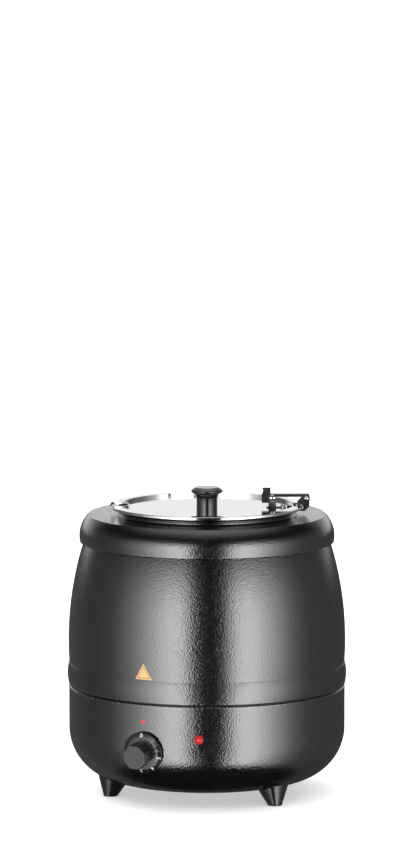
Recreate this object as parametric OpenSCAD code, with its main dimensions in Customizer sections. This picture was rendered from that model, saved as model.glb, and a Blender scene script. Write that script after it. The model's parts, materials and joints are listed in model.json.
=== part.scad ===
// Electric soup kettle: steel jacket with a heated well, a lift-out inner pot,
// a cover ring and a lid on a clip-on hinge.
// Millimetres, +Z up. The origin is on the floor under the kettle's axis, and -Y is the front.

/* [Jacket] */
// Height of the mouth above the floor
mouth_z = 340; // [338:1:420]
// Greatest diameter of the upper shell
shell_d = 338; // [330:1:410]
// How far the bulged band stands out from the shell
band_bulge = 1.3; // [1:0.1:3]
// Height of the seam between the shells
seam_z = 136.5; // [128:0.5:150]
// Height of the bulged band
band_h = 26; // [20:1:34]
// Height at which the upper shell is widest
belly_z = 189; // [180:1:200]
// Radius of the shell's shoulder
shoulder_r = 6; // [4:0.5:8]
// Radius of the bowl at the foot of the lower shell
bowl_r = 64; // [56:1:66]
// Height of the bowl's curve centre
bowl_z = 83; // [80:1:90]
// Sheet thickness of the shells
shell_t = 1.2; // [0.8:0.1:1.6]

/* [Well] */
// Gap all round between the pot and the well's wall
well_side_gap = 5; // [4:0.5:9]
// Depth of the water under the pot
water_depth = 18.5; // [12:0.5:19]
// Sheet thickness of the well
well_t = 0.8; // [0.6:0.1:1.2]
// Width of the mouth flange
flange_w = 16.3; // [14:0.1:18]
// Height of the mouth flange's turned-down edge
flange_h = 3.5; // [3:0.1:5]

/* [Pot] */
// Diameter of the inner pot's wall
pot_d = 233; // [190:1:280]
// Height of the inner pot
pot_h = 252; // [200:1:258]
// Sheet thickness of the inner pot
pot_t = 0.8; // [0.6:0.1:1.2]
// How far the inner pot's rim reaches out from its wall
pot_rim_w = 10.5; // [8:0.5:11]
// Thickness of the rolled rim
pot_rim_t = 2.2; // [1.8:0.1:3]
// Radius of the inner pot's bottom corner
pot_corner_r = 14; // [8:1:20]
// Depth of the fill line below the rim
fill_depth = 35; // [25:1:60]

/* [Cover ring] */
// How far the collar stands inside the pot's wall
collar_inset = 6.6; // [5:0.1:12]
// Height of the collar above the plate
collar_h = 10.5; // [9:0.5:14]
// Gap between the skirt and the shell it covers
skirt_gap = 4.4; // [3:0.1:8]
// How far the skirt bulges out from the plate's edge
skirt_bulge = 11; // [8:0.5:14]
// Height of the skirt below the plate's top
skirt_h = 33; // [28:1:36]
// Sheet thickness of the ring
ring_t = 1; // [0.8:0.1:1.2]

/* [Lid] */
// How far the lid reaches past the collar
lid_overlap = 8.1; // [6:0.1:9]
// Sheet thickness of the lid
lid_t = 0.8; // [0.6:0.1:1]
// Depth of the recess that drops into the collar
recess_depth = 3.5; // [2.5:0.1:4.5]
// Height of the lid's turned-down edge
hem_h = 3; // [2.5:0.1:4]
// Width of the ladle notch
ladle_w = 38; // [28:1:44]
// Depth of the ladle notch
ladle_depth = 22; // [20:1:30]
// Angle of the ladle notch from -X toward the front
ladle_turn = 6; // [0:1:12]
// Greatest diameter of the lid knob
lid_knob_d = 38.8; // [32:0.2:48]
// Height of the lid knob
lid_knob_h = 24.6; // [20:0.2:34]

/* [Hinge] */
// Distance between the two hinge pins
arm_l = 41.5; // [37:0.5:47]
// Distance of the clip pin past the lid's edge
clip_pin_gap = 3; // [2:0.1:6]
// Height of both hinge pins above the lid's recessed plate
pin_h = 11.5; // [11:0.1:13]
// Diameter of the hinge pins
pin_d = 4; // [3:0.1:4.4]
// Width of the hinge arm
arm_w = 9; // [8:0.2:12]
// Width of the notch in the lid for the clip
clip_notch_w = 26; // [22:1:32]

/* [Controls] */
// Angle of the thermostat knob from the front toward -X
knob_turn = 26.7; // [20:0.1:40]
// Downward tilt of the thermostat knob
knob_tilt = 6; // [0:0.5:10]
// Diameter of the knob's skirt
knob_skirt_d = 50.5; // [44:0.5:56]
// Width across the flats of the knob's grip
knob_grip_w = 28; // [22:0.5:32]
// Depth of the knob's grip
knob_grip_h = 20; // [14:0.5:24]
// Diameter of the thermostat shaft
shaft_d = 6; // [5:0.1:8]
// Angle of the pilot lamp from the front toward -X
lamp_turn = 3.3; // [0:0.1:8]
// Height of the pilot lamp
lamp_z = 94.5; // [88:0.5:120]
// Diameter of the pilot lamp's lens
lamp_d = 11; // [8:0.5:14]
// Side of the triangular caution label
label_side = 22; // [16:1:26]

/* [Feet and inlet] */
// Diameter of a foot where it meets the floor
foot_pad_d = 16.5; // [14:0.5:22]
// Half angle of a foot's taper
foot_taper = 25; // [18:1:27]
// Slant of a foot's axis from upright
foot_slant = 11.5; // [8:0.5:14]
// Bore of the cord gland
gland_bore = 8.2; // [6:0.1:9]

/* [Fits] */
// Gap between a lifted-off piece and its seat
seat_gap = 0.3; // [0.3:0.05:0.5]
// Radial clearance of a pin or shaft in its hole
pin_gap = 0.05; // [0.02:0.01:0.1]
// Side clearance between hinge leaves
leaf_gap = 0.35; // [0.3:0.05:0.6]

/* [Hidden] */
$fn = 144;

black_paint = [0.05, 0.05, 0.055];
black_plastic = [0.03, 0.03, 0.035];
steel = [0.78, 0.79, 0.8];
zinc = [0.68, 0.69, 0.7];
eps = 0.01;

// Inner pot and the well around it
pot_r = pot_d / 2;
pot_rim_r = pot_r + pot_rim_w;
pot_top = mouth_z + seat_gap + pot_rim_t;
pot_floor = pot_top - pot_h;
well_r = pot_r + well_side_gap;
well_floor = pot_floor - water_depth;
flange_r = well_r + flange_w;
flange_bolt_r = well_r + 8.5;
flange_bolt_turns = [45, 165, 285];

// Jacket. The shell's upright curve is tangent to its shoulder, which ends under the flange
shell_r = shell_d / 2;
band_r = shell_r + band_bulge;
shell_top = mouth_z - flange_h;
shoulder_x = flange_r - 0.9;
shoulder_z = shell_top - shoulder_r;
shell_lean = shell_r - shoulder_x;
shell_rise = shoulder_z - belly_z;
shell_curve_r = (pow(shell_lean, 2) + pow(shell_rise, 2) - pow(shoulder_r, 2))
    / (2 * (shell_lean - shoulder_r));
curve_x = shell_r - shell_curve_r;
lower_r = shell_r - 0.5;
bowl_x = lower_r - bowl_r;
bowl_bottom = bowl_z - bowl_r;
base_open_r = bowl_x - 12;
lip_h = 14;
seam_gap = 1.8;
edge_roll = 2.2;
band_edge_step = 0.57;
band_edge_r = curve_x + sqrt(pow(shell_curve_r, 2) - pow(seam_z + band_h - belly_z, 2)) + band_edge_step;
band_sag = band_r - band_edge_r;
band_curve_r = (pow(band_h / 2, 2) + pow(band_sag, 2)) / (2 * band_sag);
lip_r = band_edge_r - shell_t - 0.1;

// Cover ring and lid, stacked from the pot up
plate_z = pot_top + seat_gap + ring_t;
collar_r = pot_r - collar_inset;
collar_wall_r = collar_r - 0.9;
collar_top = plate_z + collar_h;
groove_z = plate_z + collar_h * 0.34;
groove_depth = 0.5;
skirt_belly = 26;
skirt_end_z = plate_z - skirt_h;
shell_end_r = curve_x + sqrt(pow(shell_curve_r, 2) - pow(skirt_end_z - belly_z, 2));
skirt_r = shell_end_r + skirt_gap + ring_t;
plate_r = skirt_r - skirt_bulge;
skirt_curve_r = (pow(skirt_bulge, 2) + pow(skirt_belly, 2)) / (2 * skirt_bulge);
lid_r = collar_r + lid_overlap;
flange_under = collar_top + seat_gap;
lid_top = flange_under + lid_t;
recess_top = lid_top - recess_depth;
recess_r = collar_wall_r - groove_depth - ring_t - 0.6;
jaw_face_x = collar_wall_r - groove_depth - ring_t - 0.45;
grip_face_x = collar_r + seat_gap;

// Hinge
clip_pin_x = lid_r + clip_pin_gap;
lid_pin_x = clip_pin_x - arm_l;
pin_r = pin_d / 2;
pin_z = recess_top + pin_h;
pin_hole_r = pin_r + pin_gap;
arm_t = 1.2;
arm_lobe_r = 4;
arm_under = pin_z + 1.4;
arm_top = pin_z + 5.2;
ear_y = arm_w / 2 + leaf_gap;
ear_t = 1.5;
jaw_t = 1.5;
pad_depth = 6.8;
pad_h = 6;
pad_w = 14;
clip_floor_z = collar_top + 0.5;
clip_floor_t = 1.2;
clip_bottom = collar_top - 6;
clip_back_x = clip_pin_x + 3.6;
strip_w = 2 * ear_y - 0.2;
clip_notch_x = jaw_face_x - jaw_t - pad_depth - 1.4;
bracket_x0 = lid_pin_x - 7;
bracket_x1 = clip_notch_x - 1;
bracket_rivet_x = bracket_x1 - 4;

// Controls, measured outward from the bowl's curve centre
knob_foot = bowl_r + 1.2;
skirt_t = 4.6;
grip_base = knob_foot + skirt_t;
knob_hole_r = shaft_d / 2 + 1.5;
stat_face = bowl_r - shell_t - 2.2;
stat_w = 32;
stat_l = 42;
stat_depth = 26;
stat_back = stat_face - 2 - stat_depth;
lamp_hole_r = lamp_d / 2 - 1.5;
lamp_back = lower_r - 25;

// Underside
plate_t = 1.2;
base_z = bowl_bottom + shell_t;
heater_t = 4;
heater_top = well_floor - well_t;
heater_under = heater_top - heater_t;
element_d = 7;
element_r = 50;
element_end_turn = 12;
element_end_x = element_r * sin(element_end_turn);
element_end_y = element_r * cos(element_end_turn);
shield_z = heater_under - 22.2;
block_z = base_z + plate_t;
base_screw_r = base_open_r + 5;
base_screw_turns = [13, 133, 253];
bulb_y = -30;
bulb_z = heater_under - 3;
wire_r = 1.1;
wire_z = block_z + 6;
wire_ref = [0.83, 0.41, 0.38];
stud_r = 66;
stud_turns = [30, 150, 270];
stud_d = 5;
foot_far = bowl_z / cos(foot_slant);
foot_turns = [193, 313, 73];
foot_screw_d = 4;
gland_turn = 90;
gland_z = bowl_z + 13;
gland_reach = lower_r + 10.5;

// ---- Shared shapes ----

// Turns a module drawn at the front so that it faces an angle measured from the front toward -X
module from_front(turn) {
    rotate([0, 0, -90 - turn]) children();
}

// Puts +Z along the outward normal of the bowl, `fall` degrees below level
module on_bowl(fall) {
    translate([bowl_x, 0, bowl_z]) rotate([0, 90 + fall, 0]) children();
}

// A point p given outward, sideways and up, as seen when facing an angle from the front toward -X
function faced(turn, p) =
    [p.y * cos(turn) - p.x * sin(turn), -p.x * cos(turn) - p.y * sin(turn), p.z];

// A point behind the thermostat: `down` and `side` across its back, `out` along its shaft
function stat_point(down, side, out) = faced(knob_turn, [
    bowl_x + out * cos(knob_tilt) - down * sin(knob_tilt), side,
    bowl_z - out * sin(knob_tilt) - down * cos(knob_tilt)]);

// Puts +Z outward along the cord gland's axis, from the kettle's own axis
module on_gland_axis() {
    rotate([0, 0, gland_turn]) translate([0, 0, gland_z]) rotate([0, 90, 0]) children();
}

// Repeats a shape at a list of angles around the axis
module around(turns) {
    for (turn = turns) {
        rotate([0, 0, turn]) children();
    }
}

// The unit vector along v
function unit(v) = v / norm(v);

// The direction of a path at its i-th point, halving each corner
function heading(points, i) =
    i == 0 ? unit(points[1] - points[0])
    : i == len(points) - 1 ? unit(points[i] - points[i - 1])
    : unit(unit(points[i] - points[i - 1]) + unit(points[i + 1] - points[i]));

// A wire of round section swept through a list of points
module wire(points, r) {
    sides = 10;
    last = len(points) - 1;
    rings = [for (i = [0 : last])
        let (along = heading(points, i), across = unit(cross(along, wire_ref)), up = cross(along, across))
        for (k = [0 : sides - 1])
            points[i] + r * (across * cos(360 * k / sides) + up * sin(360 * k / sides))];
    walls = [for (i = [0 : last - 1]) for (k = [0 : sides - 1])
        let (n = (k + 1) % sides, a = i * sides, b = a + sides)
        each [[a + k, a + n, b + n], [a + k, b + n, b + k]]];
    start = [for (k = [0 : sides - 1]) sides - 1 - k];
    end = [for (k = [0 : sides - 1]) last * sides + k];
    polyhedron(points = rings, faces = concat([start], walls, [end]), convexity = 6);
}

// A cross-slotted pan head screw pointing down from z = 0
module pan_screw(shank_d, length, head_d, head_h) {
    difference() {
        union() {
            cylinder(h = head_h * 0.55, d = head_d);
            translate([0, 0, head_h * 0.55]) cylinder(h = head_h * 0.45, d1 = head_d, d2 = head_d * 0.7);
            translate([0, 0, -length]) cylinder(h = length + eps, d = shank_d);
        }
        translate([-head_d / 2, -head_d * 0.07, head_h * 0.5]) cube([head_d, head_d * 0.14, head_h]);
        translate([-head_d * 0.07, -head_d / 2, head_h * 0.5]) cube([head_d * 0.14, head_d, head_h]);
    }
}

// A hexagon nut with a plain hole, standing on z = 0
module hex_nut(width, hole_d, height) {
    difference() {
        cylinder(h = height, d = width / cos(30), $fn = 6);
        translate([0, 0, -1]) cylinder(h = height + 2, d = hole_d);
    }
}

// A domed rivet head standing on z = 0
module rivet_head(d, h) {
    cap_r = (pow(d / 2, 2) + h * h) / (2 * h);
    intersection() {
        translate([0, 0, h - cap_r]) sphere(r = cap_r);
        cylinder(h = h + 1, d = d + 1);
    }
}

// ---- Jacket ----

// Half section inside the upper shell's outer face, shrunk by `cut`
module upper_area(cut) {
    roll_r = shoulder_r - cut;
    lean = atan2(shell_rise, shoulder_x - curve_x);
    tangent_z = shoulder_z + roll_r * sin(lean);
    intersection() {
        translate([curve_x, belly_z]) circle(r = shell_curve_r - cut, $fn = 1440);
        translate([0, seam_z + band_h]) square([shell_r, tangent_z - seam_z - band_h]);
    }
    translate([shoulder_x, shoulder_z]) circle(r = roll_r);
    translate([0, tangent_z - eps]) square([shoulder_x, shoulder_z + roll_r - tangent_z + eps]);
    intersection() {
        translate([band_r - band_curve_r, seam_z + band_h / 2]) circle(r = band_curve_r - cut, $fn = 720);
        translate([0, seam_z]) square([band_r, band_h + eps]);
    }
}

module upper_shell() {
    color(black_paint) difference() {
        rotate_extrude() difference() {
            upper_area(0);
            upper_area(shell_t);
            square([well_r + 2.5, mouth_z + 1]);
        }
        around(flange_bolt_turns) {
            translate([flange_bolt_r, 0, shell_top - 10]) cylinder(h = 20, d = 4.2);
        }
    }
}

// Half section inside the lower shell's outer face, shrunk by `cut`
module lower_area(cut) {
    intersection() {
        translate([bowl_x, bowl_z]) circle(r = bowl_r - cut, $fn = 360);
        translate([bowl_x, bowl_bottom]) square([bowl_r, bowl_r]);
    }
    translate([0, bowl_bottom + cut]) square([bowl_x, seam_z - bowl_bottom - cut]);
    translate([0, bowl_z]) square([lower_r - cut, seam_z - seam_gap - edge_roll - bowl_z]);
    // Upper edge, rolled inward
    translate([lower_r - edge_roll, seam_z - seam_gap - edge_roll]) circle(r = edge_roll - cut);
    translate([0, seam_z - seam_gap - edge_roll - eps]) square([lower_r - edge_roll, edge_roll + eps]);
}

module lower_shell() {
    lip_z = seam_z - seam_gap - shell_t;
    color(black_paint) difference() {
        rotate_extrude() {
            difference() {
                lower_area(0);
                lower_area(shell_t);
                square([base_open_r, seam_z]);
                translate([0, lip_z]) square([lip_r - eps, 40]);
            }
            translate([lip_r - shell_t, lip_z - 1]) square([shell_t, lip_h]);
        }
        from_front(knob_turn) on_bowl(knob_tilt) translate([0, 0, bowl_r - 8])
            cylinder(h = 16, r = knob_hole_r);
        from_front(knob_turn) on_bowl(knob_tilt) stat_screw_places() translate([0, 0, bowl_r - 8])
            cylinder(h = 16, d = 3.3);
        from_front(lamp_turn) translate([lower_r - 8, 0, lamp_z]) rotate([0, 90, 0])
            cylinder(h = 16, r = lamp_hole_r + 0.1);
        on_gland_axis() translate([0, 0, lower_r - 16]) cylinder(h = 32, d = gland_bore + 6.2);
        around(foot_turns) on_bowl(90 - foot_slant) translate([0, 0, bowl_r - 6])
            cylinder(h = 12, d = foot_screw_d + 0.2);
        around(base_screw_turns) translate([base_screw_r, 0, bowl_bottom - 5]) cylinder(h = 12, d = 3.2);
    }
}

module well() {
    color(steel) difference() {
        rotate_extrude() {
            // Wall and floor with a round corner between them
            translate([well_r, well_floor + 8]) square([well_t, mouth_z - well_floor - 8]);
            translate([0, well_floor - well_t]) square([well_r - 8, well_t]);
            intersection() {
                difference() {
                    translate([well_r - 8, well_floor + 8]) circle(r = 8 + well_t);
                    translate([well_r - 8, well_floor + 8]) circle(r = 8);
                }
                translate([well_r - 8, well_floor - well_t]) square([8 + well_t, 8 + well_t]);
            }
            // Flange and its turned-down edge
            translate([well_r, mouth_z - well_t]) square([flange_r - 1 - well_r, well_t]);
            translate([flange_r - 1.6, mouth_z - flange_h]) square([1.6, flange_h - 1]);
            intersection() {
                translate([flange_r - 1, mouth_z - 1]) circle(r = 1);
                translate([flange_r - 1, mouth_z - 1 - eps]) square([1, 1 + eps]);
            }
            translate([flange_r - 1.6, mouth_z - 1 - eps]) square([0.6 + eps, 1 + eps]);
        }
        around(flange_bolt_turns) {
            translate([flange_bolt_r, 0, mouth_z - 5]) cylinder(h = 10, d = 4.2);
        }
    }
}

module flange_screws() {
    color(steel) around(flange_bolt_turns) {
        translate([flange_bolt_r, 0, mouth_z]) pan_screw(4, 9, 6.4, 1.6);
    }
}

// ---- Underside ----

module base_plate() {
    vent_rows = [40, 48, 78];
    color(zinc) difference() {
        translate([0, 0, base_z]) cylinder(h = plate_t, r = bowl_x - 3);
        around(stud_turns) translate([stud_r, 0, base_z - 1]) cylinder(h = 4, d = stud_d + 0.2);
        around(base_screw_turns) translate([base_screw_r, 0, base_z - 1]) cylinder(h = 4, d = 3.2);
        for (row = vent_rows) {
            around([for (i = [0 : 11]) i * 30 + 15]) translate([row, 0, base_z - 1]) cylinder(h = 4, d = 4);
        }
        translate([-8, 30, base_z - 1]) cylinder(h = 4, d = 3.2);
        translate([8, 30, base_z - 1]) cylinder(h = 4, d = 3.2);
        translate([-30, 24, base_z - 1]) cylinder(h = 4, d = 4.2);
    }
}

module base_screws() {
    color(zinc) around(base_screw_turns) {
        translate([base_screw_r, 0, bowl_bottom]) rotate([180, 0, 0]) pan_screw(3, 4, 6, 2);
    }
}

module heater_plate() {
    color(zinc) difference() {
        translate([0, 0, heater_under]) cylinder(h = heater_t, r = 75);
        around(stud_turns) translate([stud_r, 0, heater_under - 1])
            cylinder(h = heater_t + 2, d = stud_d + 0.2);
    }
}

// A round tube bent to an open ring, with both ends turned down
module heating_element() {
    tube_z = heater_under - element_d / 2 - 0.25;
    color([0.35, 0.34, 0.33]) {
        translate([0, 0, tube_z]) rotate([0, 0, 90 + element_end_turn])
            rotate_extrude(angle = 360 - 2 * element_end_turn) translate([element_r, 0])
                circle(d = element_d);
        around([90 - element_end_turn, 90 + element_end_turn]) {
            translate([element_r, 0, tube_z]) sphere(d = element_d * 1.06);
            translate([element_r, 0, shield_z - 4]) cylinder(h = tube_z - shield_z + 4, d = element_d);
            translate([element_r, 0, shield_z - 12]) cylinder(h = 9, d = 3);
        }
    }
}

module heat_shield() {
    rim = 12;
    hole_d = element_d + 3;
    color(steel) difference() {
        translate([0, 0, shield_z]) difference() {
            cylinder(h = rim, r = 100);
            translate([0, 0, 0.8]) cylinder(h = rim, r = 99.2);
        }
        around(stud_turns) translate([stud_r, 0, shield_z - 1]) cylinder(h = 4, d = stud_d + 0.2);
        around([90 - element_end_turn, 90 + element_end_turn])
            translate([element_r, 0, shield_z - 1]) cylinder(h = 4, d = hole_d);
        translate([0, 0, shield_z - 1]) cylinder(h = 4, d = 20);
    }
}

module tie_studs() {
    color(zinc) around(stud_turns) {
        translate([stud_r, 0, bowl_bottom - 3]) cylinder(h = heater_top - bowl_bottom + 3, d = stud_d);
    }
}

module tie_nuts() {
    color(zinc) around(stud_turns) translate([stud_r, 0, 0]) {
        translate([0, 0, heater_under - 4]) hex_nut(8, stud_d, 4);
        translate([0, 0, shield_z - 4]) hex_nut(8, stud_d, 4);
        translate([0, 0, base_z + plate_t]) hex_nut(8, stud_d, 4);
        translate([0, 0, base_z - 4]) hex_nut(8, stud_d, 4);
    }
}

module thermal_cutout() {
    color([0.9, 0.88, 0.82]) {
        translate([0, 0, heater_under - 9]) cylinder(h = 9, d = 16);
        for (side = [-1, 1]) {
            translate([side * 4 - 0.4, -3, heater_under - 16]) cube([0.8, 6, 7 + eps]);
        }
    }
}

module sensor_bulb() {
    color([0.75, 0.5, 0.35]) translate([-26, bulb_y, bulb_z]) rotate([0, 90, 0]) cylinder(h = 52, d = 6);
}

module sensor_clip() {
    color(zinc) for (x = [-18, 18]) {
        difference() {
            translate([x - 4, bulb_y - 9, bulb_z - 4]) cube([8, 18, heater_under - bulb_z + 4]);
            translate([x - 5, bulb_y, bulb_z]) rotate([0, 90, 0]) cylinder(h = 10, d = 6);
            translate([x - 5, bulb_y - 10, bulb_z - 5]) cube([10, 6, heater_under - bulb_z + 4]);
            translate([x - 5, bulb_y + 4, bulb_z - 5]) cube([10, 6, heater_under - bulb_z + 4]);
            translate([x - 5, bulb_y - 3, bulb_z - 1]) cube([10, 6, 4]);
        }
    }
}

// ---- Controls ----

module stat_screw_places() {
    for (side = [-1, 1]) {
        translate([0, side * 14, 0]) children();
    }
}

module thermostat() {
    color([0.86, 0.84, 0.78]) from_front(knob_turn) on_bowl(knob_tilt) difference() {
        union() {
            translate([-stat_l / 2, -stat_w / 2, stat_face - 2 - stat_depth])
                cube([stat_l, stat_w, stat_depth]);
            translate([0, 0, stat_face - 2 - eps]) cylinder(h = 3, r = knob_hole_r - 0.3);
        }
        translate([0, 0, stat_face - 14]) cylinder(h = 20, r = shaft_d / 2 + pin_gap);
        stat_screw_places() translate([0, 0, stat_face - 8]) cylinder(h = 10, d = 3.1);
    }
}

module thermostat_bracket() {
    color(zinc) from_front(knob_turn) on_bowl(knob_tilt) difference() {
        translate([-13, -17, stat_face - 2]) cube([26, 34, 2]);
        translate([0, 0, stat_face - 3]) cylinder(h = 4, r = knob_hole_r);
        stat_screw_places() translate([0, 0, stat_face - 3]) cylinder(h = 4, d = 3.3);
    }
}

module thermostat_screws() {
    color(zinc) from_front(knob_turn) on_bowl(knob_tilt) stat_screw_places()
        translate([0, 0, bowl_r + 0.05]) {
            translate([0, 0, -10]) cylinder(h = 10, d = 3);
            cylinder(h = 0.9, d = 5.4);
        }
}

module thermostat_shaft() {
    color(zinc) from_front(knob_turn) on_bowl(knob_tilt) difference() {
        translate([0, 0, stat_face - 13]) cylinder(h = grip_base + 11 - stat_face + 13, d = shaft_d);
        translate([-shaft_d / 2 - 9, -10, knob_foot]) cube([10, 20, 40]);
    }
}

module shaft_bore(from, to) {
    difference() {
        translate([0, 0, from]) cylinder(h = to - from, d = shaft_d + 0.1);
        translate([-shaft_d / 2 - 9.05, -10, from - 1]) cube([10, 20, to - from + 2]);
    }
}

module knob_skirt() {
    color(black_plastic) from_front(knob_turn) on_bowl(knob_tilt) difference() {
        union() {
            translate([0, 0, knob_foot]) cylinder(h = 1.6, d = knob_skirt_d);
            translate([0, 0, knob_foot + 1.6])
                cylinder(h = skirt_t - 1.6, d1 = knob_skirt_d, d2 = knob_grip_w + 10);
        }
        translate([0, 0, knob_foot - 1]) cylinder(h = 2, d = knob_skirt_d - 6);
        shaft_bore(knob_foot - 1, grip_base + 1);
    }
}

module knob_grip() {
    color(black_plastic) from_front(knob_turn) on_bowl(knob_tilt) difference() {
        translate([0, 0, grip_base]) rotate([0, 0, 22.5])
            cylinder(h = knob_grip_h, d = knob_grip_w / cos(22.5), $fn = 8);
        shaft_bore(grip_base - 1, grip_base + 11.2);
    }
}

module lamp_lens() {
    color([0.85, 0.1, 0.08]) from_front(lamp_turn) translate([lower_r, 0, lamp_z]) rotate([0, 90, 0]) {
        translate([0, 0, -7]) cylinder(h = 7.3, r = lamp_hole_r);
        translate([0, 0, 0.2]) cylinder(h = 1, d = lamp_d);
        translate([0, 0, 1.2 - eps]) rivet_head(lamp_d - 1.4, 3.4);
    }
}

module lamp_body() {
    color([0.9, 0.9, 0.88]) from_front(lamp_turn) translate([lower_r - 7, 0, lamp_z]) rotate([0, -90, 0])
        difference() {
            union() {
                translate([0, 0, -4.6]) cylinder(h = 2, d = lamp_d + 5);
                translate([0, 0, -3]) cylinder(h = 21, d = lamp_d + 1);
            }
            translate([0, 0, -6]) cylinder(h = 6, r = lamp_hole_r + 0.1);
        }
}

module index_dot() {
    color([0.85, 0.2, 0.25]) from_front(knob_turn + 0.2) intersection() {
        translate([lower_r - 4, 0, 113]) rotate([0, 90, 0]) cylinder(h = 8, d = 5);
        difference() {
            translate([0, 0, 105]) cylinder(h = 16, r = lower_r + 0.25);
            translate([0, 0, 104]) cylinder(h = 18, r = lower_r);
        }
    }
}

// A thin triangle wrapped on the upper shell just above the band
module caution_label() {
    label_z = seam_z + band_h + 2;
    color([0.95, 0.7, 0.1]) from_front(knob_turn) intersection() {
        translate([shell_r - 6, 0, label_z]) rotate([90, 0, 90]) linear_extrude(height = 12)
            polygon([[-label_side / 2, 0], [label_side / 2, 0], [0, label_side * sin(60)]]);
        rotate_extrude() difference() {
            translate([curve_x, belly_z]) circle(r = shell_curve_r + 0.25, $fn = 1440);
            translate([curve_x, belly_z]) circle(r = shell_curve_r + 0.05, $fn = 1440);
            translate([-2000, -2000]) square([2000 + shell_r - 20, 4000]);
        }
    }
}

// ---- Electrics ----

module terminal_block() {
    color([0.92, 0.92, 0.9]) difference() {
        translate([-20, 24, block_z]) cube([40, 16, 14]);
        for (x = [-12, 0, 12]) {
            translate([x, 23, block_z + 6]) rotate([-90, 0, 0]) cylinder(h = 18, d = 4);
            translate([x, 28, block_z + 6]) cylinder(h = 10, d = 3);
            translate([x, 36, block_z + 6]) cylinder(h = 10, d = 3);
        }
        translate([-8, 30, block_z - 1]) cylinder(h = 3, d = 3);
        translate([8, 30, block_z - 1]) cylinder(h = 3, d = 3);
    }
}

module terminal_screws() {
    color(zinc) for (x = [-12, 0, 12]) {
        translate([x, 28, block_z + 8]) cylinder(h = 7, d = 2.9);
        translate([x, 36, block_z + 8]) cylinder(h = 7, d = 2.9);
    }
}

// From the terminal block to the thermostat, and from the cut-out to the element
module live_wires() {
    color([0.45, 0.28, 0.18]) {
        wire([[-12, 24.5, wire_z], [-12, 12, wire_z], [-46, -20, wire_z + 8],
            faced(knob_turn, [bowl_x + 9, -3, shield_z - 3]), stat_point(14, 6, stat_back - 10),
            stat_point(14, 6, stat_back - 0.2)], wire_r);
        wire([[-4, 0, heater_under - 17], [-4, 2, shield_z - 3], [-5, 14, shield_z - 4.5],
            [-element_end_x, element_end_y - 3.2, shield_z - 6.5]], wire_r);
    }
}

// From the terminal block to the pilot lamp and to the element
module neutral_wires() {
    color([0.2, 0.35, 0.65]) {
        wire([[12, 24.5, wire_z], [12, 14, wire_z], [30, 0, wire_z + 6], [20, -90, wire_z + 6],
            faced(lamp_turn, [lamp_back - 12, 0, bowl_z - 10]), faced(lamp_turn, [lamp_back - 10, 0, lamp_z]),
            faced(lamp_turn, [lamp_back - 0.2, 0, lamp_z])], wire_r);
        wire([[12, 39.5, wire_z], [13, 46, wire_z], [element_end_x + 3.2, element_end_y + 1, shield_z - 10]],
            wire_r);
    }
}

// From the terminal block to the earth stud
module earth_wire() {
    color([0.35, 0.6, 0.25]) {
        wire([[0, 24.5, wire_z], [0, 17, wire_z], [-6, 15, wire_z + 3.6], [-20, 14, wire_z + 3.6],
            [-30, 20, wire_z + 0.6]], wire_r);
    }
}

module earth_stud() {
    color([0.8, 0.65, 0.35]) translate([-30, 24, 0]) {
        translate([0, 0, base_z - 2.5]) cylinder(h = 2.5, d = 7);
        translate([0, 0, base_z - eps]) cylinder(h = 14, d = 4);
        translate([0, 0, block_z]) hex_nut(7, 3.9, 3.2);
    }
}

// Thin tube from the sensor bulb to the thermostat
module capillary() {
    color([0.75, 0.5, 0.35]) wire([[-26.2, bulb_y, bulb_z], [-31, bulb_y - 1, bulb_z - 2.2],
        [-35, bulb_y - 6, shield_z + 9], [-52, bulb_y - 30, shield_z + 9], [-56, -84, shield_z + 15],
        stat_point(8, -6, stat_back - 14), stat_point(8, -6, stat_back - 0.2)], 0.8);
}

module cord_gland() {
    collar_w = 3;
    color(black_plastic) on_gland_axis() difference() {
        union() {
            translate([0, 0, lower_r - 9]) cylinder(h = gland_reach - lower_r + 9, d = gland_bore + 6);
            translate([0, 0, lower_r]) cylinder(h = collar_w, d = gland_bore + 13);
            translate([0, 0, lower_r + collar_w])
                cylinder(h = gland_reach - lower_r - collar_w, d1 = gland_bore + 11, d2 = gland_bore + 7);
        }
        translate([0, 0, lower_r - 20]) cylinder(h = 60, d = gland_bore);
    }
}

module gland_nut() {
    nut_h = 3.5;
    color(zinc) on_gland_axis() translate([0, 0, lower_r - shell_t - 0.5 - nut_h])
         hex_nut(gland_bore + 11, gland_bore + 6.1, nut_h);
}

// ---- Feet ----

module foot(turn) {
    pad_r = foot_pad_d / 2;
    top_l = bowl_r - 3;
    top_r = pad_r + (foot_far - top_l) * tan(foot_taper);
    color(black_plastic) difference() {
        rotate([0, 0, turn]) difference() {
            intersection() {
                on_bowl(90 - foot_slant) translate([0, 0, top_l])
                    cylinder(h = foot_far - top_l + 6, r1 = top_r, r2 = pad_r - 6 * tan(foot_taper));
                translate([bowl_x - 60, -60, 0]) cube([140, 120, 60]);
            }
            on_bowl(90 - foot_slant) translate([0, 0, bowl_r - 5]) cylinder(h = 18, d = foot_screw_d + 0.1);
        }
        rotate_extrude() lower_area(0);
    }
}

module foot_left() {
    foot(foot_turns[0]);
}

module foot_right() {
    foot(foot_turns[1]);
}

module foot_rear() {
    foot(foot_turns[2]);
}

module foot_screws() {
    color(zinc) around(foot_turns) on_bowl(90 - foot_slant) {
        translate([0, 0, bowl_r - shell_t - 3]) cylinder(h = 2.8, d = 8);
        translate([0, 0, bowl_r - shell_t - 1]) cylinder(h = 12, d = foot_screw_d);
    }
}

// ---- Inner pot ----

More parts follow.
